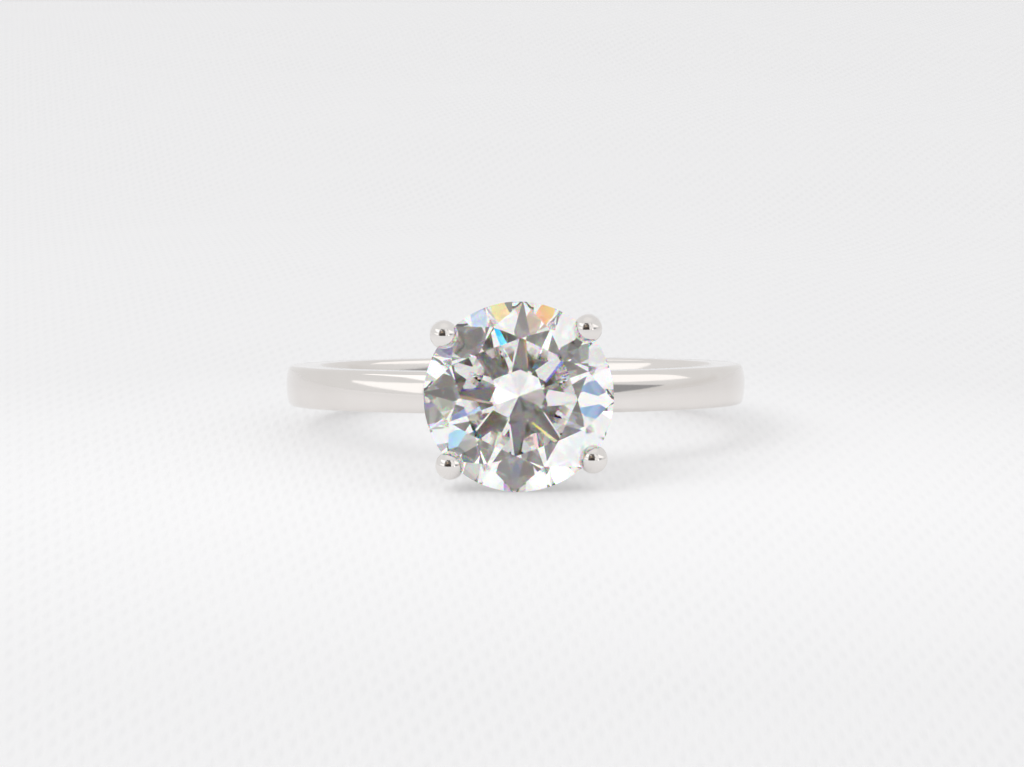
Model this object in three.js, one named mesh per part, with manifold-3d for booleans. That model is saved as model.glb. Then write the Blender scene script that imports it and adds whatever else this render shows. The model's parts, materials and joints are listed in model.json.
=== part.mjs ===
// A solitaire engagement ring: a polished shank, a four-claw head and a round brilliant stone.
//
// Millimetres, +Z up. Every piece is made with the ring upright: the stone's table faces +Z, the
// finger runs along Y and the middle of the finger hole is the origin. The finished ring is then
// laid on its side, as it lies on a table: the stone faces -Y, and the stone's girdle in front
// and the shank's lower edge behind rest on z = 0, under the middle of the whole ring.
import * as THREE from "three";
import { mergeVertices } from "three/addons/utils/BufferGeometryUtils.js";
import Module from "manifold-3d";

const wasm = await Module();
wasm.setup();

// ---- Driving dimensions, in millimetres and degrees

// The shank, a plain ring with a domed outer face, a comfort-fit inner face and softened edges.
const fingerHoleDiameter = 17.3;
const shankThickness = 1.6; // from the hole's wall to the crest of the outer face
const shankWidth = 1.8; // along the finger
const shankDomeRadius = 3.0; // curvature of the outer face, across its width
const shankInnerDomeRadius = 5.0; // curvature of the inner face, across its width
const shankOuterRound = 0.25;
const shankInnerRound = 0.12;

// The stone, a round brilliant.
const stoneDiameter = 8.0;
const tableDiameter = 4.95; // from corner to corner of the flat top
const crownAngle = 34.8;
const pavilionAngle = 41.15;
const girdleThickness = 0.2; // at its thick points, above and below the main facets
const starReach = 0.48; // how far the star facets reach from the table's edge to the girdle
const lowerHalfReach = 0.745; // how far the lower-half facets reach from the girdle to the culet
const stoneTurn = -2.8; // of the main facets, about the stone's axis
const stoneLean = 1.5; // of the table towards +Y, about the stone's middle
const stoneSideLean = -0.8; // of the table towards +X
const culetHeight = 0.25; // of the stone's point above the shank

// The head: four claws rising from a collet, tied together by a gallery rail.
const clawTipDiameter = 1.2;
const clawFootDiameter = 0.84;
const clawGrip = 0.41; // how far a claw reaches in over the girdle's edge
const clawTipRise = 0.3; // of the centre of a claw's round end above the girdle
const clawTipLean = 0.11; // of that centre towards the stone's axis
const clawFootRadius = 1.0; // of the circle on which the claws' feet stand
const clawSpread = 42.3; // azimuth of the claws on either side of the shank
const headTurn = 2.2; // of the claws, about the stone's axis
const railWireDiameter = 0.7;
const railSeatRadius = 2.6; // where, on the pavilion, the gallery rail lies beside the stone
const colletFootRadius = 0.78;
const colletRimRadius = 1.3;
const colletHeight = 0.95; // of the collet's rim above the shank

// Clearances between neighbours.
const seatClearance = 0.03; // a claw, the collet or the rail where it is fitted to its neighbour
const pavilionClearance = 0.12; // between the stone's underside and the claws and rail beside it

// How finely the curves are divided.
const shankSegments = 96;
const shankArcDivisions = 2;
const girdleSteps = 6; // along the girdle, for each girdle facet
const clawSides = 20;
const clawSteps = 16;
const clawDomeSteps = 5;
const railSegments = 64;
const railSides = 12;
const colletSegments = 40;

// ---- Sizes that follow

const radians = THREE.MathUtils.degToRad;
const holeRadius = fingerHoleDiameter / 2;
const shankOuterRadius = holeRadius + shankThickness;
const stoneRadius = stoneDiameter / 2;
const tableRadius = tableDiameter / 2;
const crownSlope = Math.tan(radians(crownAngle));
const pavilionSlope = Math.tan(radians(pavilionAngle));

const culetZ = shankOuterRadius + culetHeight;
const girdleBottomZ = culetZ + stoneRadius * pavilionSlope;
const girdleTopZ = girdleBottomZ + girdleThickness;
const stoneMiddleZ = (girdleBottomZ + girdleTopZ) / 2;
const tableZ = girdleTopZ + (stoneRadius - tableRadius) * crownSlope;

// ---- Solids

const metal = (color, roughness) => new THREE.MeshStandardMaterial({ color, roughness, metalness: 1 });
const polishedShank = metal(0xd8d2cb, 0.12);
const polishedHead = metal(0xdcd6cf, 0.1);
const brilliant = new THREE.MeshStandardMaterial({
  color: 0xf4f8ff,
  roughness: 0.02,
  metalness: 0,
  transparent: true,
  opacity: 0.6,
  flatShading: true,
});

// A closed geometry as a solid that can be cut.
function solidOf(geometry) {
  const bare = geometry.clone();
  bare.deleteAttribute("normal");
  bare.deleteAttribute("uv");
  const merged = mergeVertices(bare);
  return new wasm.Manifold(
    new wasm.Mesh({
      numProp: 3,
      vertProperties: merged.attributes.position.array,
      triVerts: new Uint32Array(merged.index.array),
    }),
  );
}

// A cut solid as a geometry again.
function geometryOf(solid) {
  const mesh = solid.getMesh();
  const geometry = new THREE.BufferGeometry();
  geometry.setAttribute("position", new THREE.BufferAttribute(mesh.vertProperties, 3));
  geometry.setIndex(new THREE.BufferAttribute(mesh.triVerts, 1));
  geometry.computeVertexNormals();
  return geometry;
}

// ---- The shank

// The shank's section, with the finger's axis along Y, and every face moved out by growth.
function shankGeometry(growth = 0) {
  const halfWidth = shankWidth / 2 + growth;
  const innerRound = shankInnerRound + growth;
  const innerDome = Math.max(shankInnerDomeRadius, shankWidth / 2) + growth;
  const innerCentre = holeRadius - growth + innerDome;
  const innerY = halfWidth - innerRound;
  const innerAngle = Math.asin(innerY / (innerDome - innerRound));
  const innerX = innerCentre - (innerDome - innerRound) * Math.cos(innerAngle);
  const outerRound = shankOuterRound + growth;
  const dome = Math.max(shankDomeRadius, shankWidth / 2) + growth;
  const domeCentre = shankOuterRadius + growth - dome;
  const roundY = halfWidth - outerRound;
  const domeAngle = Math.asin(roundY / (dome - outerRound));
  const roundX = domeCentre + (dome - outerRound) * Math.cos(domeAngle);
  const quarter = Math.PI / 2;

  const section = new THREE.Path();
  section.absarc(innerCentre, 0, innerDome, Math.PI + innerAngle, Math.PI - innerAngle, true);
  section.absarc(innerX, innerY, innerRound, Math.PI - innerAngle, quarter, true);
  section.absarc(roundX, roundY, outerRound, quarter, domeAngle, true);
  section.absarc(domeCentre, 0, dome, domeAngle, -domeAngle, true);
  section.absarc(roundX, -roundY, outerRound, -domeAngle, -quarter, true);
  section.absarc(innerX, -innerY, innerRound, -quarter, innerAngle - Math.PI, true);
  const outline = section.getPoints(shankArcDivisions).reverse();
  return new THREE.LatheGeometry(outline, shankSegments);
}

// ---- The stone

// A round brilliant: a table, 8 stars, 8 bezels, 16 upper halves, a round girdle, 16 lower halves
// and 8 pavilion mains, each one a flat facet. It is made with its culet at culetZ, then turned and
// leaned about its own middle, and scaled about it by scale.
function brilliantGeometry(scale = 1) {
  const mains = 8;
  const pitch = 360 / mains;
  const half = pitch / 2;
  const middle = half / 2;
  const at = (radius, azimuth, z) =>
    new THREE.Vector3(radius * Math.cos(radians(azimuth)), radius * Math.sin(radians(azimuth)), z);

  const tableEdge = tableRadius * Math.cos(radians(half));
  const starRadius = tableEdge + starReach * (stoneRadius - tableEdge);
  const starZ = girdleTopZ + (stoneRadius - starRadius * Math.cos(radians(half))) * crownSlope;
  const lowerRadius = stoneRadius * (1 - lowerHalfReach);
  const lowerZ = culetZ + lowerRadius * Math.cos(radians(half)) * pavilionSlope;

  // A half facet meets the round girdle in a shallow curve, lowest at the facet's middle.
  const run = Math.cos(radians(middle));
  const upperSlope = (starZ - girdleTopZ) / ((stoneRadius - starRadius) * run);
  const lowerSlope = (girdleBottomZ - lowerZ) / ((stoneRadius - lowerRadius) * run);
  const scallop = (azimuth) => {
    const fromMiddle = THREE.MathUtils.euclideanModulo(azimuth, half) - middle;
    return stoneRadius * (Math.cos(radians(fromMiddle)) - run);
  };
  const rimTop = (azimuth) => at(stoneRadius, azimuth, girdleTopZ - upperSlope * scallop(azimuth));
  const rimBottom = (azimuth) => at(stoneRadius, azimuth, girdleBottomZ + lowerSlope * scallop(azimuth));
  const along = (rim, from) =>
    Array.from({ length: girdleSteps + 1 }, (_, i) => rim(from + (half * i) / girdleSteps));

  const corners = [];
  const facet = (loop) => {
    for (let i = 1; i < loop.length - 1; i++) corners.push(loop[0], loop[i], loop[i + 1]);
  };

  const culet = at(0, 0, culetZ);
  facet(Array.from({ length: mains }, (_, k) => at(tableRadius, k * pitch, tableZ)));
  for (let k = 0; k < mains; k++) {
    const main = k * pitch;
    const between = main + half;
    const table = at(tableRadius, main, tableZ);
    const star = at(starRadius, between, starZ);
    const lower = at(lowerRadius, between, lowerZ);
    facet([table, star, at(tableRadius, main + pitch, tableZ)]);
    facet([rimTop(main), star, table, at(starRadius, main - half, starZ)]);
    facet([rimBottom(main), at(lowerRadius, main - half, lowerZ), culet, lower]);
    for (const from of [main, between]) {
      const top = along(rimTop, from);
      const bottom = along(rimBottom, from);
      facet([star, ...top]);
      facet([lower, ...bottom.toReversed()]);
      for (let i = 0; i < girdleSteps; i++) facet([bottom[i], bottom[i + 1], top[i + 1], top[i]]);
    }
  }
  const geometry = new THREE.BufferGeometry().setFromPoints(corners);
  geometry.translate(0, 0, -stoneMiddleZ).scale(scale, scale, scale);
  geometry.rotateZ(radians(stoneTurn)).rotateX(radians(-stoneLean)).rotateY(radians(stoneSideLean));
  geometry.translate(0, 0, stoneMiddleZ).computeVertexNormals();
  return geometry;
}

// ---- The head

// A point beside the pavilion: out from the stone's surface at the given radius by distance.
function besidePavilion(radius, distance) {
  const slant = radians(pavilionAngle);
  return new THREE.Vector3(
    radius + distance * Math.sin(slant),
    0,
    culetZ + radius * pavilionSlope - distance * Math.cos(slant),
  );
}

// The line a claw follows, in the XZ plane: up beside the pavilion, round the elbow under the
// girdle and upright past the stone's edge.
function clawLine() {
  const offset = clawTipDiameter / 2 + pavilionClearance;
  const slant = radians(pavilionAngle);
  const upright = stoneRadius + clawTipDiameter / 2 - clawGrip;
  const foot = besidePavilion(clawFootRadius - offset * Math.sin(slant), offset);
  const elbow = besidePavilion(upright - offset * Math.sin(slant), offset);
  const tip = new THREE.Vector3(upright - clawTipLean, 0, girdleTopZ + clawTipRise);
  const bend = (tip.z - elbow.z) * 0.6;
  const bendStart = elbow.clone().add(foot.clone().sub(elbow).setLength(bend));
  const bendEnd = elbow.clone().add(tip.clone().sub(elbow).setLength(bend));
  const line = new THREE.CurvePath();
  line.add(new THREE.LineCurve3(foot, bendStart));
  line.add(new THREE.QuadraticBezierCurve3(bendStart, elbow, bendEnd));
  line.add(new THREE.LineCurve3(bendEnd, tip));
  return line;
}

// A tapered, round-ended rod bent along the claw's line and turned to its azimuth.
function clawGeometry(azimuth, growth = 0) {
  const line = clawLine();
  const length = line.getLength();
  const footRadius = clawFootDiameter / 2 + growth;
  const tipRadius = clawTipDiameter / 2 + growth;
  const profile = [new THREE.Vector2(0, -growth), new THREE.Vector2(footRadius, -growth)];
  for (let i = 1; i <= clawSteps; i++) {
    const share = i / clawSteps;
    profile.push(new THREE.Vector2(THREE.MathUtils.lerp(footRadius, tipRadius, share), length * share));
  }
  for (let i = 1; i <= clawDomeSteps; i++) {
    const turn = (Math.PI / 2) * (i / clawDomeSteps);
    const radius = i < clawDomeSteps ? tipRadius * Math.cos(turn) : 0;
    profile.push(new THREE.Vector2(radius, length + tipRadius * Math.sin(turn)));
  }

  const rod = new THREE.LatheGeometry(profile, clawSides);
  const side = new THREE.Vector3(0, 1, 0);
  const places = rod.attributes.position;
  const vertex = new THREE.Vector3();
  for (let i = 0; i < places.count; i++) {
    vertex.fromBufferAttribute(places, i);
    const share = THREE.MathUtils.clamp(vertex.y / length, 0, 1);
    const tangent = line.getTangentAt(share);
    const outward = tangent.clone().cross(side);
    const bent = line
      .getPointAt(share)
      .addScaledVector(tangent, vertex.y - share * length)
      .addScaledVector(outward, vertex.x)
      .addScaledVector(side, vertex.z);
    places.setXYZ(i, bent.x, bent.y, bent.z);
  }
  rod.rotateZ(radians(azimuth));
  return rod;
}

// The gallery rail, a round wire ring close under the stone.
function railGeometry(growth = 0) {
  const centre = besidePavilion(railSeatRadius, railWireDiameter / 2 + pavilionClearance);
  const rail = new THREE.TorusGeometry(centre.x, railWireDiameter / 2 + growth, railSides, railSegments);
  rail.translate(0, 0, centre.z);
  return rail;
}

// The collet, a small cup that stands on the shank and takes the stone's point.
function colletGeometry() {
  const bottom = shankOuterRadius - shankOuterRound;
  const waist = shankOuterRadius + culetHeight;
  const rim = shankOuterRadius + colletHeight;
  const outline = [
    new THREE.Vector2(0, bottom),
    new THREE.Vector2(colletFootRadius, bottom),
    new THREE.Vector2(colletFootRadius, waist),
    new THREE.Vector2(colletRimRadius, rim),
    new THREE.Vector2(0, rim),
  ];
  const collet = new THREE.LatheGeometry(outline, colletSegments);
  collet.rotateX(Math.PI / 2);
  return collet;
}

// ---- The assembly

const claws = [
  { name: "claw_upper_right", azimuth: clawSpread },
  { name: "claw_upper_left", azimuth: 180 - clawSpread },
  { name: "claw_lower_left", azimuth: 180 + clawSpread },
  { name: "claw_lower_right", azimuth: -clawSpread },
].map(({ name, azimuth }) => ({ name, azimuth: azimuth + headTurn }));

const shankCutter = solidOf(shankGeometry(seatClearance));
const stoneSeat = solidOf(brilliantGeometry(1 + seatClearance / stoneRadius));
const railSeat = solidOf(railGeometry(seatClearance));

const ring = new THREE.Group();
function addPiece(name, geometry, material) {
  const piece = new THREE.Mesh(geometry, material);
  piece.name = name;
  ring.add(piece);
}

addPiece("shank", shankGeometry(), polishedShank);
addPiece("round_brilliant_stone", brilliantGeometry(), brilliant);
addPiece("gallery_rail", railGeometry(), polishedHead);

let collet = solidOf(colletGeometry()).subtract(shankCutter).subtract(stoneSeat);
for (const { name, azimuth } of claws) {
  const claw = solidOf(clawGeometry(azimuth)).subtract(stoneSeat).subtract(railSeat).subtract(shankCutter);
  addPiece(name, geometryOf(claw), polishedHead);
  collet = collet.subtract(solidOf(clawGeometry(azimuth, seatClearance)));
}
addPiece("collet", geometryOf(collet), polishedHead);

// The ring tips forward until the girdle's lower edge and the round edge at the back of the shank
// both touch the table. In this side view, x runs to the back and y is up.
const girdleEdge = new THREE.Vector2(-girdleBottomZ, -stoneRadius).rotateAround(
  new THREE.Vector2(-stoneMiddleZ, 0),
  radians(-stoneLean),
);
const domeReach = shankDomeRadius - shankOuterRound;
const roundReach = shankWidth / 2 - shankOuterRound;
const backEdge = new THREE.Vector2(
  shankOuterRadius - shankDomeRadius + Math.sqrt(domeReach ** 2 - roundReach ** 2),
  -roundReach,
);
const span = backEdge.sub(girdleEdge);
const restTilt = span.angle() - Math.asin(shankOuterRound / span.length());
ring.rotation.x = Math.PI / 2 - restTilt;

// The origin is on the table, under the middle of the ring's bounding box.
const reach = new THREE.Box3().setFromObject(ring, true);
const middle = reach.getCenter(new THREE.Vector3());
ring.position.set(-middle.x, -middle.y, -reach.min.z);

const engagementRing = new THREE.Group();
engagementRing.add(ring);

export default engagementRing;
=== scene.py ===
"""A four-claw solitaire ring lying on a pale cloth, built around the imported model."""
import json
import logging
import math
from dataclasses import dataclass
from enum import Enum

import bpy
from mathutils import Matrix, Vector, noise

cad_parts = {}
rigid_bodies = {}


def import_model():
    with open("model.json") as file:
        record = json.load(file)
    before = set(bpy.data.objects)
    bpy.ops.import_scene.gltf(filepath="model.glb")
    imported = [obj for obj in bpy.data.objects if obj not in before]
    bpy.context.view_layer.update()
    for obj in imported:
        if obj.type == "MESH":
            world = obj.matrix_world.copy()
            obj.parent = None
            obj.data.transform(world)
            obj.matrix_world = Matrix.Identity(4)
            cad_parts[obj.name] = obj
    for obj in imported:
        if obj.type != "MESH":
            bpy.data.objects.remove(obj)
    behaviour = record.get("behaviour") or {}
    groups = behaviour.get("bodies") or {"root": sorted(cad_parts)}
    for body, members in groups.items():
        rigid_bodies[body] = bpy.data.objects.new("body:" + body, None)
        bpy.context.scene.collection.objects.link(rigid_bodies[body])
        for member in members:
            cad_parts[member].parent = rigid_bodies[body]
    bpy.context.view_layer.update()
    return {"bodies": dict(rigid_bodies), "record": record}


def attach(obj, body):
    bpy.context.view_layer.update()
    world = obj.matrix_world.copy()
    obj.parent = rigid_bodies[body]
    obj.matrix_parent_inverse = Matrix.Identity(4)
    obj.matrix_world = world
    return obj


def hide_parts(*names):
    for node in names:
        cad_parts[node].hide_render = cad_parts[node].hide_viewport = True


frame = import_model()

log = logging.getLogger("ring")

MM = 0.001
FULL_TURN = 2 * math.pi
QUARTER_TURN = math.pi / 2
CULET_GAP = 0.25
ON_AXIS = 1e-9
CREASE = 40.0
FLAT = 0.0
Point = tuple[float, float, float]
Loop = list[tuple[float, float]]
Face = tuple[int, ...]


class Slot(Enum):
    """The record's material slots."""

    SHANK = "shank_metal"
    HEAD = "head_metal"
    STONE = "stone"


class Corner(Enum):
    """Where a claw stands: its CAD node, the end of the shank's line, and the way it spreads."""

    UPPER_RIGHT = ("claw_upper_right", 0.0, 1.0)
    UPPER_LEFT = ("claw_upper_left", 180.0, -1.0)
    LOWER_LEFT = ("claw_lower_left", 180.0, 1.0)
    LOWER_RIGHT = ("claw_lower_right", 0.0, -1.0)

    @property
    def node(self) -> str:
        """The CAD node that the claw stands for."""
        return self.value[0]

    def azimuth(self, spread: float, turn: float) -> float:
        """The claw's direction about the stone's axis.

        Args:
            spread: degrees between a claw and the shank's line.
            turn: degrees by which the whole head is turned.

        Returns:
            The azimuth in degrees.
        """
        return self.value[1] + self.value[2] * spread + turn


@dataclass(frozen=True)
class RingAxes:
    """The ring's own axes: the middle of the finger hole and the finger's line."""

    middle: Vector
    finger: Vector

    @classmethod
    def from_record(cls, record: dict) -> "RingAxes":
        """The axes as the record's finger hole gives them.

        Args:
            record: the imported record.

        Returns:
            The ring's axes in the frame.
        """
        hole = next(mount for mount in record["mounts"] if mount["name"] == "finger_hole")
        return cls(Vector(hole["pos_m"]), Vector(hole["axis"]).normalized())

    def matrix(self) -> Matrix:
        """The move from the upright ring to the frame.

        Returns:
            A matrix from millimetres with the finger along Y and the stone facing Z, to metres.
        """
        across = Vector((1.0, 0.0, 0.0))
        stone = across.cross(self.finger)
        turn = Matrix((across, self.finger, stone)).transposed().to_4x4()
        return Matrix.Translation(self.middle) @ turn @ Matrix.Scale(MM, 4)


# ---- Node trees


class NodeTree:
    """A material's or the world's node tree, with short ways to add to it."""

    def __init__(self, owner: bpy.types.ID) -> None:
        """Starts an empty tree on owner."""
        owner.use_nodes = True
        self.tree = owner.node_tree
        self.tree.nodes.clear()

    def add(self, kind: str, inputs: dict | None = None, **settings: object) -> bpy.types.Node:
        """Adds a node.

        Args:
            kind: the node's Blender type.
            inputs: for each input, by name or number, a value or the output that feeds it.
            settings: the node's own settings.

        Returns:
            The new node.
        """
        node = self.tree.nodes.new(kind)
        for name, value in settings.items():
            setattr(node, name, value)
        for name, value in (inputs or {}).items():
            if isinstance(value, bpy.types.NodeSocket):
                self.tree.links.new(value, node.inputs[name])
            else:
                node.inputs[name].default_value = value
        return node

    def maths(self, operation: str, *values: object) -> bpy.types.NodeSocket:
        """The result of a Math node on the given values or outputs."""
        return self.add("ShaderNodeMath", dict(enumerate(values)), operation=operation).outputs[0]

    def between(self, value: object, low: float, high: float) -> bpy.types.NodeSocket:
        """Maps 0..1 to low..high, and holds it there."""
        inputs = {0: value, 1: 0.0, 2: 1.0, 3: low, 4: high}
        return self.add("ShaderNodeMapRange", inputs).outputs[0]

    def fade(self, value: object, edge: float, soft: float) -> bpy.types.NodeSocket:
        """Falls from 1 below edge to 0 above it, softly over twice the given width."""
        inputs = {0: value, 1: edge - soft, 2: edge + soft, 3: 1.0, 4: 0.0}
        node = self.add("ShaderNodeMapRange", inputs, interpolation_type="SMOOTHSTEP")
        return node.outputs[0]

    def blend(self, factor: object, first: object, second: object) -> bpy.types.NodeSocket:
        """A colour between first and second by factor."""
        node = self.add("ShaderNodeMix", data_type="RGBA")
        for name, value in ((0, factor), (6, first), (7, second)):
            if isinstance(value, bpy.types.NodeSocket):
                self.tree.links.new(value, node.inputs[name])
            elif name == 0:
                node.inputs[name].default_value = value
            else:
                node.inputs[name].default_value = (*value, 1.0)
        return node.outputs[2]


# ---- Finishes


@dataclass(frozen=True)
class PolishedMetal:
    """A buffed white precious metal, with the faint grain and hairlines that wear leaves."""

    name: str
    bright: Point = (0.845, 0.815, 0.79)
    dull: Point = (0.79, 0.755, 0.728)
    smooth: float = 0.045
    worn: float = 0.12
    cloud: float = 420.0
    grain: float = 5200.0
    hairline: float = 1500.0
    hairline_way: Point = (0.4, 0.3, 0.2)
    hairline_stretch: Point = (1.0, 9.0, 1.0)
    depth: float = 1.1e-6

    def material(self) -> bpy.types.Material:
        """Builds the finish.

        Returns:
            The node material.
        """
        material = bpy.data.materials.new(self.name)
        nodes = NodeTree(material)
        place = nodes.add("ShaderNodeTexCoord").outputs["Object"]
        cloud = nodes.add("ShaderNodeTexNoise", {"Vector": place, "Scale": self.cloud, "Detail": 4.0})
        grain = nodes.add("ShaderNodeTexNoise", {"Vector": place, "Scale": self.grain, "Detail": 5.0})
        hairs = nodes.add(
            "ShaderNodeMapping",
            {"Vector": place, "Rotation": self.hairline_way, "Scale": self.hairline_stretch},
        )
        lines = nodes.add(
            "ShaderNodeTexNoise",
            {"Vector": hairs.outputs[0], "Scale": self.hairline, "Detail": 6.0, "Distortion": 0.4},
        )
        wear = nodes.maths("MULTIPLY", cloud.outputs["Fac"], lines.outputs["Fac"])
        tone = nodes.blend(nodes.between(cloud.outputs["Fac"], 1.2, -0.2), self.bright, self.dull)
        rough = nodes.between(nodes.maths("MULTIPLY", wear, 2.0), self.smooth, self.worn)
        hairlines = nodes.maths("MULTIPLY", lines.outputs["Fac"], 0.6)
        height = nodes.maths("ADD", grain.outputs["Fac"], hairlines)
        bump = nodes.add("ShaderNodeBump", {"Height": height, "Strength": 0.5, "Distance": self.depth})
        metal = nodes.add(
            "ShaderNodeBsdfPrincipled",
            {"Base Color": tone, "Metallic": 1.0, "Roughness": rough, "Normal": bump.outputs[0]},
        )
        nodes.add("ShaderNodeOutputMaterial", {"Surface": metal.outputs[0]})
        return material


@dataclass(frozen=True)
class BrilliantCrystal:
    """Clear crystal that spreads white light into colours where it leaves the stone."""

    name: str = "clear_brilliant"
    index: float = 2.417
    spread: float = 0.05

    def material(self) -> bpy.types.Material:
        """Builds the finish.

        Returns:
            The node material.
        """
        material = bpy.data.materials.new(self.name)
        nodes = NodeTree(material)
        red, blue = self.index - self.spread / 2, self.index + self.spread / 2
        lights = (
            ((1.0, 1.0, 1.0, 1.0), self.index),
            ((1.0, 0.0, 0.0, 1.0), red),
            ((0.0, 1.0, 0.0, 1.0), self.index),
            ((0.0, 0.0, 1.0, 1.0), blue),
        )
        entering, *parts = [
            nodes.add(
                "ShaderNodeBsdfRefraction", {"Color": colour, "Roughness": 0.0, "IOR": index}
            ).outputs[0]
            for colour, index in lights
        ]
        leaving = parts[0]
        for part in parts[1:]:
            leaving = nodes.add("ShaderNodeAddShader", {0: leaving, 1: part}).outputs[0]
        inside = nodes.add("ShaderNodeNewGeometry").outputs["Backfacing"]
        through = nodes.add("ShaderNodeMixShader", {0: inside, 1: entering, 2: leaving}).outputs[0]
        mirror = nodes.add(
            "ShaderNodeBsdfGlossy", {"Color": (1.0, 1.0, 1.0, 1.0), "Roughness": 0.0}
        ).outputs[0]
        share = nodes.add("ShaderNodeFresnel", {"IOR": blue}).outputs[0]
        surface = nodes.add("ShaderNodeMixShader", {0: share, 1: through, 2: mirror}).outputs[0]
        nodes.add("ShaderNodeOutputMaterial", {"Surface": surface})
        return material


@dataclass(frozen=True)
class WovenCloth:
    """Fine white cloth with a low diagonal weave, a faint painted glow that lightens its shadows, and a
    brighter painted pool of light near the ring.
    """

    name: str = "woven_cloth"
    light: Point = (0.61, 0.61, 0.62)
    shade: Point = (0.57, 0.571, 0.582)
    # Painted light: an even glow over the whole cloth, though it is no lamp, that lifts its shadows.
    glow: float = 0.285
    thread: float = 0.00043
    thread_way: float = -0.48
    stretch: float = 0.17
    cloud: float = 130.0
    # Painted pool of light: extra glow, strongest at the place given below and fading over the given
    # reach.
    painted_pool_glow: float = 0.1
    painted_pool_place: Point = (0.0, -0.012, 0.0)
    painted_pool_reach: Point = (0.06, 0.034, 0.03)

    def material(self) -> bpy.types.Material:
        """Builds the finish.

        Returns:
            The node material.
        """
        material = bpy.data.materials.new(self.name)
        nodes = NodeTree(material)
        place = nodes.add("ShaderNodeTexCoord").outputs["Object"]
        turned = nodes.add(
            "ShaderNodeMapping",
            {
                "Vector": place,
                "Rotation": (0.0, 0.0, self.thread_way),
                "Scale": (1.0, self.stretch, 1.0),
            },
        )
        pitch = 0.314 / self.thread
        waves = [
            nodes.add(
                "ShaderNodeTexWave",
                {"Vector": turned.outputs[0], "Scale": pitch, "Distortion": 0.5},
                bands_direction=way,
            ).outputs["Fac"]
            for way in ("X", "Y")
        ]
        weave = nodes.maths("MULTIPLY", waves[0], waves[1])
        cloud = nodes.add("ShaderNodeTexNoise", {"Vector": place, "Scale": self.cloud, "Detail": 4.0})
        worn = nodes.between(cloud.outputs["Fac"], -0.4, 1.4)
        tone = nodes.blend(nodes.maths("MULTIPLY", weave, worn), self.light, self.shade)
        bump = nodes.add(
            "ShaderNodeBump", {"Height": weave, "Strength": 0.4, "Distance": self.thread * 0.15}
        )
        # Painted pool of light: a brighter glow near the ring that fades out with distance.
        pool = nodes.add(
            "ShaderNodeMapping",
            {"Vector": place, "Location": self.painted_pool_place, "Scale": self.painted_pool_reach},
            vector_type="TEXTURE",
        )
        painted_pool_share = nodes.add(
            "ShaderNodeTexGradient", {"Vector": pool.outputs[0]}, gradient_type="SPHERICAL"
        ).outputs["Fac"]
        # The painted glow: even over the whole cloth, plus the painted pool of light.
        glow = nodes.maths("ADD", nodes.maths("MULTIPLY", painted_pool_share, self.painted_pool_glow), self.glow)
        cloth = nodes.add(
            "ShaderNodeBsdfPrincipled",
            {
                "Base Color": tone,
                "Roughness": 0.9,
                "Specular IOR Level": 0.1,
                "Emission Color": (1.0, 1.0, 1.0, 1.0),
                "Emission Strength": glow,
                "Normal": bump.outputs[0],
            },
        )
        nodes.add("ShaderNodeOutputMaterial", {"Surface": cloth.outputs[0]})
        return material


# ---- Meshes


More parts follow.
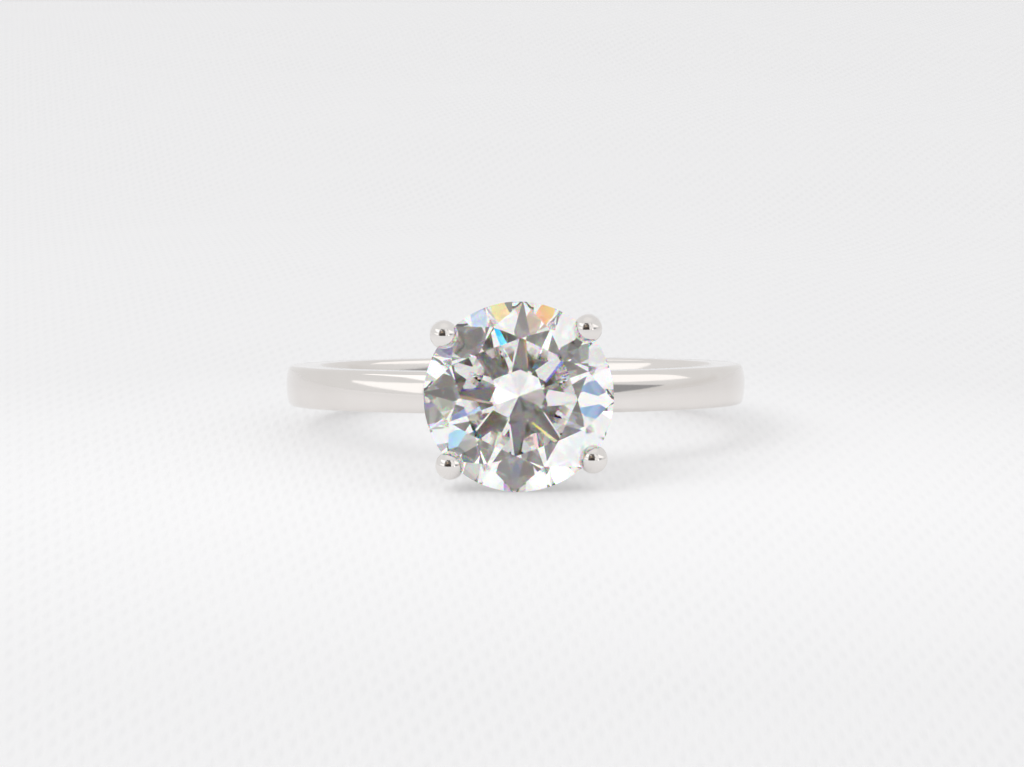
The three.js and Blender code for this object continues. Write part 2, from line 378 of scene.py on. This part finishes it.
class Mould:
    """Turns points and faces given in ring millimetres into pieces in the frame."""

    def __init__(self, axes: RingAxes, body: str) -> None:
        """Keeps the ring's axes and the body that every piece rides on."""
        self.move = axes.matrix()
        self.body = body

    def piece(self, name: str, points: list[Vector], faces: list[Face]) -> bpy.types.Object:
        """Makes one piece.

        Args:
            name: the piece's name.
            points: its corners in ring millimetres.
            faces: the corners of each face.

        Returns:
            The new object, with its place in its mesh.
        """
        mesh = bpy.data.meshes.new(name)
        mesh.from_pydata([self.move @ point for point in points], [], faces)
        mesh.validate()
        piece = bpy.data.objects.new(name, mesh)
        bpy.context.scene.collection.objects.link(piece)
        return piece

    def lathe(self, name: str, outline: Loop, sides: int, turn: Matrix) -> bpy.types.Object:
        """Turns an outline about an axis.

        Args:
            name: the piece's name.
            outline: distance from the axis and height along it, in order round the section. An end on
                the axis closes the piece; an outline that never touches the axis closes on itself.
            sides: how many steps a full turn takes.
            turn: from the lathe, whose axis is Z, to ring millimetres.

        Returns:
            The new piece.
        """
        points: list[Vector] = []
        rows: list[list[int]] = []
        for radius, height in outline:
            first = len(points)
            if radius < ON_AXIS:
                points.append(turn @ Vector((0.0, 0.0, height)))
                rows.append([first] * sides)
                continue
            for side in range(sides):
                angle = FULL_TURN * side / sides
                points.append(turn @ Vector((radius * math.cos(angle), radius * math.sin(angle), height)))
            rows.append(list(range(first, first + sides)))
        open_ended = outline[0][0] < ON_AXIS and outline[-1][0] < ON_AXIS
        pairs = list(zip(rows, rows[1:])) + ([] if open_ended else [(rows[-1], rows[0])])
        faces = []
        for low, high in pairs:
            for side in range(sides):
                after = (side + 1) % sides
                corners = (low[side], low[after], high[after], high[side])
                faces.append(tuple(dict.fromkeys(corners)))
        return self.piece(name, points, faces)

    def cut(self, piece: bpy.types.Object, cutter: bpy.types.Object) -> None:
        """Takes cutter out of piece, and removes the cutter."""
        tool = piece.modifiers.new("seat", "BOOLEAN")
        tool.operation = "DIFFERENCE"
        tool.solver = "EXACT"
        tool.object = cutter
        bpy.context.view_layer.update()
        graph = bpy.context.evaluated_depsgraph_get()
        mesh = bpy.data.meshes.new_from_object(piece.evaluated_get(graph))
        piece.modifiers.clear()
        piece.data = mesh
        bpy.data.objects.remove(cutter)

    def finish(
        self,
        piece: bpy.types.Object,
        node: str,
        slot: Slot,
        material: bpy.types.Material,
        crease: float = CREASE,
    ) -> None:
        """Shades and dresses a piece and gives it its place in the assembly.

        Args:
            piece: the piece.
            node: the CAD node that it stands for.
            slot: not used.
            material: its finish.
            crease: edges sharper than this many degrees stay sharp; FLAT keeps every face flat.
        """
        piece.data.materials.clear()
        piece.data.materials.append(material)
        if crease > FLAT:
            piece.data.shade_smooth()
            piece.data.set_sharp_from_angle(angle=math.radians(crease))
        else:
            piece.data.shade_flat()
        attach(piece, self.body)
        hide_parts(node)
        log.info("%s: %d faces for %s", piece.name, len(piece.data.polygons), node)


def arc(centre: tuple[float, float], radius: float, start: float, end: float, steps: int) -> Loop:
    """Points along an arc.

    Args:
        centre: the arc's centre.
        radius: its radius.
        start: the angle that it starts at, in radians.
        end: the angle that it ends at.
        steps: how many steps it takes.

    Returns:
        steps + 1 points, both ends among them.
    """
    angles = [start + (end - start) * step / steps for step in range(steps + 1)]
    return [(centre[0] + radius * math.cos(a), centre[1] + radius * math.sin(a)) for a in angles]


@dataclass
class Shank:
    """The band: a ring of domed section with softened edges, in millimetres."""

    hole_radius: float = 8.65
    thickness: float = 1.6
    width: float = 1.8
    dome_radius: float = 3.0
    inner_dome_radius: float = 5.0
    outer_round: float = 0.25
    inner_round: float = 0.12
    around: int = 512
    corner_steps: int = 8
    dome_steps: int = 24
    inner_steps: int = 16

    @property
    def outer_radius(self) -> float:
        """The radius of the crest of the outer face."""
        return self.hole_radius + self.thickness

    def section(self) -> Loop:
        """The band's section.

        Returns:
            Distance from the finger's line and place along it, round the section.
        """
        half = self.width / 2
        edge = half - self.inner_round
        inner_reach = self.inner_dome_radius - self.inner_round
        inner_lean = math.asin(edge / inner_reach)
        inner_centre = self.hole_radius + self.inner_dome_radius
        inner = inner_centre - inner_reach * math.cos(inner_lean)
        dome_centre = self.outer_radius - self.dome_radius
        reach = self.dome_radius - self.outer_round
        round_y = half - self.outer_round
        lean = math.asin(round_y / reach)
        round_x = dome_centre + reach * math.cos(lean)
        low, high = math.pi + inner_lean, math.pi - inner_lean
        loop = arc((inner_centre, 0.0), self.inner_dome_radius, low, high, self.inner_steps)
        loop += arc((inner, edge), self.inner_round, high, QUARTER_TURN, self.corner_steps)[1:]
        loop += arc((round_x, round_y), self.outer_round, QUARTER_TURN, lean, self.corner_steps)
        loop += arc((dome_centre, 0.0), self.dome_radius, lean, -lean, self.dome_steps)[1:]
        loop += arc((round_x, -round_y), self.outer_round, -lean, -QUARTER_TURN, self.corner_steps)[1:]
        loop += arc((inner, -edge), self.inner_round, -QUARTER_TURN, -high, self.corner_steps)[:-1]
        return loop

    def build(self, mould: Mould, finish: PolishedMetal) -> bpy.types.Object:
        """Builds and dresses the band.

        Args:
            mould: what makes the piece.
            finish: its metal.

        Returns:
            The finished piece.
        """
        finger_up = Matrix.Rotation(-QUARTER_TURN, 4, "X")
        piece = mould.lathe("polished_shank", self.section(), self.around, finger_up)
        mould.finish(piece, "shank", Slot.SHANK, finish.material())
        return piece


@dataclass
class Brilliant:
    """A round brilliant: a table, 8 stars, 8 bezels, 32 halves, a girdle and 8 pavilion mains."""

    culet_height: float
    diameter: float = 8.0
    table: float = 4.95
    crown_angle: float = 34.8
    pavilion_angle: float = 41.15
    girdle: float = 0.2
    star_reach: float = 0.48
    lower_reach: float = 0.745
    turn: float = -2.8
    lean: float = 1.5
    side_lean: float = -0.8
    rim_steps: int = 10

    @property
    def radius(self) -> float:
        """Half the diameter."""
        return self.diameter / 2

    @property
    def pavilion_slope(self) -> float:
        """The rise of a pavilion main for each millimetre outwards."""
        return math.tan(math.radians(self.pavilion_angle))

    @property
    def rim_low(self) -> float:
        """The height of the girdle's lower edge above a main."""
        return self.culet_height + self.radius * self.pavilion_slope

    @property
    def rim_high(self) -> float:
        """The height of the girdle's upper edge below a bezel."""
        return self.rim_low + self.girdle

    def at(self, radius: float, azimuth: float, height: float) -> Vector:
        """A point of the stone by its place about the axis, in ring millimetres."""
        angle = math.radians(azimuth + self.turn)
        return Vector((radius * math.cos(angle), radius * math.sin(angle), height))

    def facets(self) -> list[list[Vector]]:
        """Every facet.

        Returns:
            The corners of each facet, anticlockwise from outside.
        """
        pitch = 360.0 / 8
        half = pitch / 2
        crown = math.tan(math.radians(self.crown_angle))
        lean = math.cos(math.radians(half))
        run = math.cos(math.radians(half / 2))
        table_radius = self.table / 2
        table_edge = table_radius * lean
        star_radius = table_edge + self.star_reach * (self.radius - table_edge)
        star_height = self.rim_high + (self.radius - star_radius * lean) * crown
        table_height = self.rim_high + (self.radius - table_radius) * crown
        low_radius = self.radius * (1 - self.lower_reach)
        low_height = self.culet_height + low_radius * lean * self.pavilion_slope
        upper = (star_height - self.rim_high) / ((self.radius - star_radius) * run)
        lower = (self.rim_low - low_height) / ((self.radius - low_radius) * run)

        def dip(azimuth: float) -> float:
            """How far a half facet's edge curves past the girdle's edge at an azimuth."""
            away = azimuth % half - half / 2
            return self.radius * (math.cos(math.radians(away)) - run)

        def rim(start: float, top: bool) -> list[Vector]:
            """The girdle's edge along one half facet, upper or lower, from start."""
            steps = [start + half * step / self.rim_steps for step in range(self.rim_steps + 1)]
            if top:
                return [self.at(self.radius, a, self.rim_high - upper * dip(a)) for a in steps]
            return [self.at(self.radius, a, self.rim_low + lower * dip(a)) for a in steps]

        culet = self.at(0.0, 0.0, self.culet_height)
        facets = [[self.at(table_radius, main * pitch, table_height) for main in range(8)]]
        for step in range(8):
            main = step * pitch
            corner = self.at(table_radius, main, table_height)
            star = self.at(star_radius, main + half, star_height)
            low = self.at(low_radius, main + half, low_height)
            facets.append([corner, star, self.at(table_radius, main + pitch, table_height)])
            last_star = self.at(star_radius, main - half, star_height)
            last_low = self.at(low_radius, main - half, low_height)
            facets.append([rim(main, True)[0], star, corner, last_star])
            facets.append([rim(main, False)[0], last_low, culet, low])
            for start in (main, main + half):
                top, bottom = rim(start, True), rim(start, False)
                facets.append([star, *top])
                facets.append([low, *reversed(bottom)])
                for a, b, c, d in zip(bottom, bottom[1:], top[1:], top):
                    facets.append([a, b, c, d])
        return facets

    def solid(self, mould: Mould, name: str, growth: float = 0.0) -> bpy.types.Object:
        """The stone's shape.

        Args:
            mould: what makes the piece.
            name: the piece's name.
            growth: how far the girdle moves out, with the rest in proportion.

        Returns:
            A closed piece.
        """
        points: list[Vector] = []
        places: dict[Point, int] = {}
        faces = []
        middle = Vector((0.0, 0.0, (self.rim_low + self.rim_high) / 2))
        lean = Matrix.Rotation(math.radians(self.side_lean), 3, "Y")
        lean = lean @ Matrix.Rotation(-math.radians(self.lean), 3, "X") * (1 + growth / self.radius)
        for facet in self.facets():
            face = []
            for corner in facet:
                key = tuple(round(value, 6) + 0.0 for value in corner)
                if key not in places:
                    places[key] = len(points)
                    points.append(middle + lean @ (corner - middle))
                face.append(places[key])
            faces.append(tuple(face))
        return mould.piece(name, points, faces)

    def build(self, mould: Mould, finish: BrilliantCrystal) -> bpy.types.Object:
        """Builds and dresses the stone.

        Args:
            mould: what makes the piece.
            finish: its crystal.

        Returns:
            The finished piece.
        """
        piece = self.solid(mould, "faceted_stone")
        mould.finish(piece, "round_brilliant_stone", Slot.STONE, finish.material(), FLAT)
        return piece


@dataclass
class Head:
    """The setting: four claws, a gallery rail under the stone and a collet on the band."""

    stone: Brilliant
    band: Shank
    tip_radius: float = 0.6
    foot_radius: float = 0.42
    grip: float = 0.41
    tip_rise: float = 0.3
    tip_lean: float = 0.11
    foot_circle: float = 1.0
    foot_sink: float = 0.3
    spread: float = 42.3
    turn: float = 2.2
    wire_radius: float = 0.35
    rail_seat: float = 2.6
    collet_foot: float = 0.78
    collet_rim: float = 1.3
    collet_height: float = 0.95
    collet_sink: float = 0.35
    collet_neck: float = 0.5
    collet_waist: float = 0.86
    collet_flare: float = 1.6
    collet_lip: float = 0.06
    seat_clearance: float = 0.015
    pavilion_clearance: float = 0.12
    bend_share: float = 0.6
    line_steps: int = 40
    claw_sides: int = 48
    claw_steps: int = 44
    dome_steps: int = 12
    wire_steps: int = 28
    rail_sides: int = 192
    collet_sides: int = 96

    def beside(self, radius: float, distance: float) -> Vector:
        """A point beside the pavilion.

        Args:
            radius: where on the pavilion, from the stone's axis.
            distance: how far out from it.

        Returns:
            The point, in the plane of the stone's axis and X.
        """
        slant = math.radians(self.stone.pavilion_angle)
        rise = radius * self.stone.pavilion_slope - distance * math.cos(slant)
        return Vector((radius + distance * math.sin(slant), 0.0, self.stone.culet_height + rise))

    def claw_line(self) -> list[Vector]:
        """The line that a claw follows.

        Returns:
            Points from its foot, up beside the pavilion, round the elbow and up past the girdle.
        """
        offset = self.tip_radius + self.pavilion_clearance
        inset = offset * math.sin(math.radians(self.stone.pavilion_angle))
        upright = self.stone.radius + self.tip_radius - self.grip
        foot = self.beside(self.foot_circle - inset, offset)
        elbow = self.beside(upright - inset, offset)
        tip = Vector((upright - self.tip_lean, 0.0, self.stone.rim_high + self.tip_rise))
        bend = (tip.z - elbow.z) * self.bend_share
        before = elbow + (foot - elbow).normalized() * bend
        after = elbow + (tip - elbow).normalized() * bend
        sunk = foot + (foot - elbow).normalized() * self.foot_sink
        shares = [step / self.line_steps for step in range(self.line_steps)]
        line = [sunk.lerp(before, share) for share in shares]
        line += [before.lerp(elbow, share).lerp(elbow.lerp(after, share), share) for share in shares]
        line += [after.lerp(tip, share) for share in shares[::2]]
        line.append(tip)
        return line

    def claw(self, mould: Mould, name: str, azimuth: float) -> bpy.types.Object:
        """A tapered rod with a round end, bent along the claw's line.

        Args:
            mould: what makes the piece.
            name: the piece's name.
            azimuth: its direction about the stone's axis, in degrees.

        Returns:
            The closed rod, before its seat is cut.
        """
        line = self.claw_line()
        lengths = [0.0]
        for before, after in zip(line, line[1:]):
            lengths.append(lengths[-1] + (after - before).length)
        total = lengths[-1]

        def place(distance: float) -> tuple[Vector, Vector]:
            """The point and the direction of the line at a distance along it."""
            index = max(i for i, reach in enumerate(lengths[:-1]) if reach <= max(distance, 0.0))
            way = (line[index + 1] - line[index]).normalized()
            return line[index] + way * (distance - lengths[index]), way

        rows = [(0.0, 0.0)]
        for step in range(self.claw_steps + 1):
            share = step / self.claw_steps
            radius = self.foot_radius + (self.tip_radius - self.foot_radius) * share
            rows.append((radius, total * share))
        for step in range(1, self.dome_steps + 1):
            angle = QUARTER_TURN * step / self.dome_steps
            radius = self.tip_radius * math.cos(angle) if step < self.dome_steps else 0.0
            rows.append((radius, total + self.tip_radius * math.sin(angle)))
        piece = mould.lathe(name, rows, self.claw_sides, Matrix.Identity(4))
        back = mould.move.inverted()
        turn = Matrix.Rotation(math.radians(azimuth), 4, "Z")
        side = Vector((0.0, 1.0, 0.0))
        for vertex in piece.data.vertices:
            local = back @ vertex.co
            point, way = place(local.z)
            outward = side.cross(way)
            vertex.co = mould.move @ (turn @ (point + outward * local.x + side * local.y))
        return piece

    def rail(self, mould: Mould) -> bpy.types.Object:
        """The gallery rail, a round wire ring close under the stone."""
        centre = self.beside(self.rail_seat, self.wire_radius + self.pavilion_clearance)
        section = arc((centre.x, centre.z), self.wire_radius, 0.0, FULL_TURN, self.wire_steps)[:-1]
        return mould.lathe("gallery_wire", section, self.rail_sides, Matrix.Identity(4))

    def collet(self, mould: Mould) -> bpy.types.Object:
        """The small cup between the band and the stone's point."""
        low = self.band.outer_radius - self.collet_sink
        rim = self.band.outer_radius + self.collet_height
        top = rim - self.collet_lip
        neck = low + self.collet_neck
        step_up = neck - 0.2
        waist = self.collet_foot * self.collet_waist
        outline: Loop = [(0.0, low), (self.collet_foot, low), (self.collet_foot, step_up)]
        for share in (step / 6 for step in range(1, 7)):
            width = waist + (self.collet_foot - waist) * (1 - share) ** 2
            outline.append((width, step_up + (neck - step_up) * share))
        for share in (step / 8 for step in range(1, 9)):
            width = waist + (self.collet_rim - waist) * share**self.collet_flare
            outline.append((width, neck + (top - neck) * share))
        lip_centre = (self.collet_rim - self.collet_lip, top)
        outline += arc(lip_centre, self.collet_lip, 0.0, QUARTER_TURN, 5)[1:]
        outline.append((0.0, rim))
        return mould.lathe("collet_cup", outline, self.collet_sides, Matrix.Identity(4))

    def build(self, mould: Mould, finish: PolishedMetal) -> None:
        """Builds and dresses the claws, the rail and the collet.

        Args:
            mould: what makes the pieces.
            finish: their metal.
        """
        metal = finish.material()
        rail = self.rail(mould)
        mould.finish(rail, "gallery_rail", Slot.HEAD, metal)
        for corner in Corner:
            azimuth = corner.azimuth(self.spread, self.turn)
            claw = self.claw(mould, corner.node.replace("claw", "polished_claw"), azimuth)
            mould.cut(claw, self.stone.solid(mould, "seat_cutter", self.seat_clearance))
            mould.finish(claw, corner.node, Slot.HEAD, metal)
        cup = self.collet(mould)
        mould.cut(cup, self.stone.solid(mould, "seat_cutter", self.seat_clearance))
        mould.finish(cup, "collet", Slot.HEAD, metal)


# ---- The studio


@dataclass(frozen=True)
class Panel:
    """A panel or a dark gap of the light tent, seen from the ring.

    Azimuth 0 is the camera's side and grows to its right; spans and soft are in degrees. The panel
    rises by slope for each degree of azimuth, and loses the share taper of its height by its right
    end, or by its left end where taper is negative.
    """

    azimuth: tuple[float, float]
    elevation: tuple[float, float]
    colour: Point
    soft: float = 0.5
    slope: float = 0.0
    taper: float = 0.0

    def share(self, nodes: NodeTree, azimuth: object, elevation: object) -> bpy.types.NodeSocket:
        """How much of a direction the panel fills.

        Args:
            nodes: the tree to add to.
            azimuth: the direction's azimuth.
            elevation: its elevation.

        Returns:
            1 on the panel, 0 off it.
        """
        aside = nodes.maths("SUBTRACT", azimuth, sum(self.azimuth) / 2)
        level = nodes.maths("MULTIPLY_ADD", aside, self.slope, sum(self.elevation) / 2)
        above = nodes.maths("SUBTRACT", elevation, level)
        width, height = ((span[1] - span[0]) / 2 for span in (self.azimuth, self.elevation))
        shrink = nodes.maths("MULTIPLY_ADD", aside, self.taper / (2 * width), abs(self.taper) / 2)
        reach = nodes.maths("MULTIPLY_ADD", shrink, height, nodes.maths("ABSOLUTE", above))
        across = nodes.fade(nodes.maths("ABSOLUTE", aside), width, self.soft)
        return nodes.maths("MULTIPLY", across, nodes.fade(reach, height, self.soft))


@dataclass
class Studio:
    """A white tent over a pale cloth, with the camera in its open front."""

    middle: Vector
    azimuth: float = -0.53
    elevation: float = 9.5
    distance: float = 0.230
    lens: float = 180.6
    roll: float = 0.16
    aim_right: float = -0.00016
    aim_up: float = 0.00003
    window_place: Point = (-0.26, -0.24, 0.36)
    window_size: float = 0.24
    window_power: float = 0.5
    wall: Point = (0.83, 0.83, 0.83)
    roof: Point = (0.93, 0.925, 0.92)
    roof_edge: tuple[float, float] = (65.0, 12.0)
    ground: Point = (1.03, 1.03, 1.03)
    ground_edge: tuple[float, float] = (-0.8, 0.8)
    cloth_reach: float = 0.75
    cloth_rings: int = 60
    cloth_sides: int = 96
    level_reach: float = 0.016
    roll_run: float = 0.12
    roll_depth: float = 0.004
    panels: tuple[Panel, ...] = (
        Panel((-92.0, -44.0), (1.0, 18.0), (1.24, 1.23, 1.22), taper=-0.9),
        Panel((-97.0, -44.0), (20.0, 46.0), (1.34, 1.33, 1.32), soft=1.0, taper=-0.7),
        Panel((-47.0, -40.0), (0.0, 44.0), (0.52, 0.5, 0.49), soft=1.5),
        Panel((60.0, 122.0), (-1.0, 6.5), (0.77, 0.76, 0.75), soft=3.0, taper=0.5),
        Panel((12.0, 50.0), (0.0, 50.0), (1.0, 0.99, 0.98)),
        Panel((50.0, 100.0), (6.0, 34.5), (1.24, 1.22, 1.21), slope=-0.45, taper=1.0),
        Panel((46.0, 80.0), (0.0, 14.0), (0.34, 0.345, 0.355), slope=-0.05, taper=1.0),
        Panel((-40.0, 12.0), (0.0, 22.0), (0.07, 0.06, 0.055)),
        Panel((-40.0, 12.0), (21.0, 41.6), (0.16, 0.145, 0.135)),
        Panel((-36.0, 5.0), (41.0, 53.0), (0.16, 0.145, 0.135)),
        Panel((-40.0, -22.0), (14.0, 40.0), (0.18, 0.16, 0.145)),
        Panel((-34.9, -18.0), (38.0, 42.3), (1.0, 0.98, 0.96)),
        Panel((-28.0, -12.0), (25.0, 34.0), (0.56, 0.42, 0.29)),
        Panel((15.5, 20.7), (22.0, 26.0), (0.14, 0.13, 0.13)),
        Panel((5.0, 18.0), (-16.5, -2.5), (0.16, 0.155, 0.155)),
        Panel((-8.0, 5.0), (-16.5, -3.2), (0.1, 0.1, 0.105)),
        Panel((-26.0, -8.0), (-16.5, -0.2), (0.11, 0.08, 0.06)),
        Panel((26.5, 32.3), (-2.0, 4.0), (0.08, 0.08, 0.1)),
        Panel((35.5, 44.0), (39.0, 48.0), (0.32, 0.31, 0.3)),
        Panel((-40.0, -26.0), (-14.0, 0.0), (0.34, 0.33, 0.33)),
        Panel((32.3, 46.0), (-9.0, 6.0), (1.6, 1.6, 1.6)),
        Panel((-44.0, -20.0), (-27.0, -16.5), (1.25, 1.25, 1.25)),
        Panel((18.0, 46.0), (-30.0, -16.5), (1.2, 1.2, 1.2)),
    )

    def light(self) -> None:
        """Builds the tent as the world's light."""
        world = bpy.data.worlds.new("light_tent")
        bpy.context.scene.world = world
        nodes = NodeTree(world)
        way = nodes.add("ShaderNodeTexCoord").outputs["Generated"]
        parts = nodes.add("ShaderNodeSeparateXYZ", {0: way}).outputs
        front = nodes.maths("MULTIPLY", parts[1], -1.0)
        azimuth = nodes.maths("DEGREES", nodes.maths("ARCTAN2", parts[0], front))
        elevation = nodes.maths("DEGREES", nodes.maths("ARCSINE", parts[2]))
        colour = nodes.blend(nodes.fade(elevation, *self.roof_edge), self.roof, self.wall)
        colour = nodes.blend(nodes.fade(elevation, *self.ground_edge), colour, self.ground)
        for panel in self.panels:
            colour = nodes.blend(panel.share(nodes, azimuth, elevation), colour, panel.colour)
        sky = nodes.add("ShaderNodeBackground", {"Color": colour, "Strength": 1.0})
        nodes.add("ShaderNodeOutputWorld", {"Surface": sky.outputs[0]})

    def window(self) -> None:
        """Hangs the soft window that gives the cloth its light and its weak shadows."""
        lamp = bpy.data.lights.new("soft_window", "AREA")
        lamp.shape = "SQUARE"
        lamp.size = self.window_size
        lamp.energy = self.window_power
        window = bpy.data.objects.new("soft_window", lamp)
        window.location = Vector(self.window_place)
        window.rotation_mode = "QUATERNION"
        window.rotation_quaternion = (window.location - self.middle).to_track_quat("Z", "Y")
        window.visible_glossy = False
        window.visible_transmission = False
        bpy.context.scene.collection.objects.link(window)

    def floor(self) -> bpy.types.Object:
        """Lays the cloth, level under the ring and gently rolling beyond it.

        Returns:
            The cloth.
        """
        rings, sides, inner = self.cloth_rings, self.cloth_sides, 0.012
        points = [Vector((0.0, 0.0, 0.0))]
        faces: list[Face] = []
        for ring in range(1, rings + 1):
            radius = inner + (self.cloth_reach - inner) * (ring / rings) ** 2.2
            for side in range(sides):
                angle = FULL_TURN * side / sides
                spot = Vector((radius * math.cos(angle), radius * math.sin(angle), 0.0))
                away = min(max((radius - self.level_reach) / self.roll_run, 0.0), 1.0)
                spot.z = -self.roll_depth * away * (1 + noise.noise(spot * 14.0))
                points.append(spot)
        for side in range(sides):
            faces.append((0, 1 + side, 1 + (side + 1) % sides))
        for ring in range(rings - 1):
            low, high = 1 + ring * sides, 1 + (ring + 1) * sides
            for side in range(sides):
                after = (side + 1) % sides
                faces.append((low + side, high + side, high + after, low + after))
        mesh = bpy.data.meshes.new("cloth")
        mesh.from_pydata(points, [], faces)
        mesh.shade_smooth()
        mesh.materials.append(WovenCloth().material())
        cloth = bpy.data.objects.new("cloth", mesh)
        cloth.visible_transmission = False
        bpy.context.scene.collection.objects.link(cloth)
        return cloth

    def camera(self) -> None:
        """Sets up the camera in front of the ring, a little above it."""
        azimuth, elevation = math.radians(self.azimuth), math.radians(self.elevation)
        level = math.cos(elevation)
        away = Vector((level * math.sin(azimuth), -level * math.cos(azimuth), math.sin(elevation)))
        place = self.middle + away * self.distance
        turn = (-away).to_track_quat("-Z", "Y")
        aim = self.middle + turn @ Vector((self.aim_right, self.aim_up, 0.0))
        turn = (aim - place).to_track_quat("-Z", "Y")
        lens = bpy.data.cameras.new("camera")
        lens.lens = self.lens
        lens.clip_start = 0.01
        lens.clip_end = 5.0
        camera = bpy.data.objects.new("camera", lens)
        roll = Matrix.Rotation(-math.radians(self.roll), 3, "Z").to_quaternion()
        camera.rotation_mode = "QUATERNION"
        camera.rotation_quaternion = turn @ roll
        camera.location = place
        bpy.context.scene.collection.objects.link(camera)
        bpy.context.scene.camera = camera

    def build(self) -> None:
        """Builds the light, the cloth and the camera."""
        self.light()
        self.window()
        self.floor()
        self.camera()
        bpy.context.scene.view_settings.view_transform = "Standard"
        bpy.context.scene.cycles.glossy_bounces = 12


def main() -> None:
    """Builds the ring piece by piece, then the studio around it."""
    logging.basicConfig(level=logging.INFO, format="%(name)s: %(message)s")
    axes = RingAxes.from_record(frame["record"])
    mould = Mould(axes, next(iter(frame["bodies"])))
    band = Shank()
    stone = Brilliant(culet_height=band.outer_radius + CULET_GAP)
    band.build(mould, PolishedMetal("polished_band"))
    stone.build(mould, BrilliantCrystal())
    Head(stone, band).build(mould, PolishedMetal("polished_setting", bright=(0.855, 0.83, 0.81)))
    Studio(axes.middle).build()
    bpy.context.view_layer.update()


if __name__ == "__main__":
    main()
